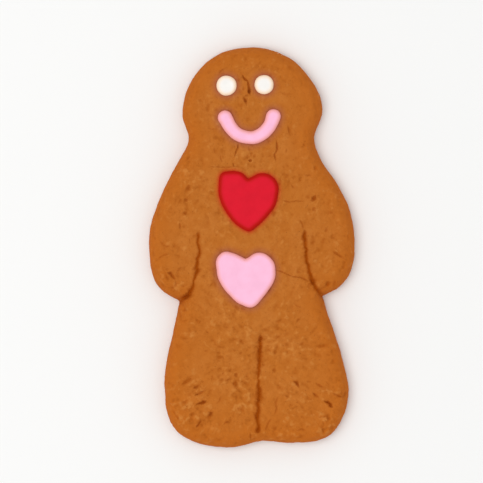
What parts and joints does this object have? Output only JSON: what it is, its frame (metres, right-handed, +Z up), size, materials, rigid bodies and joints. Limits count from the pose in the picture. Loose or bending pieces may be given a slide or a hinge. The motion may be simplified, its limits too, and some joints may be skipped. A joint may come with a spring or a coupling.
{
  "type": "gingerbread man cookie",
  "caption": "Baked gingerbread man lying face up, with round icing eyes, a piped smile and icing heart buttons.",
  "frame": {"origin": "middle of the cookie's outline box in X and Y, on its flat underside", "axes": "+Y from the feet to the head, +Z up out of the iced face, +X to the viewer's right when looking down on the face"},
  "size_m": [0.072, 0.14, 0.0121],
  "materials": {
    "gingerbread": "matte baked biscuit crumb, toasted golden brown, with fine pits, hairline cracks and darker edges",
    "white_icing": "smooth satin sugar icing, warm white",
    "pink_icing": "smooth satin sugar icing, pale pink",
    "red_icing": "smooth satin sugar icing, deep cherry red"
  },
  "bodies": {
    "root": {"gingerbread": "gingerbread", "eye_left": "white_icing", "eye_right": "white_icing", "mouth": "pink_icing", "heart_red": "red_icing", "heart_pink": "pink_icing"}
  },
  "joints": []
}
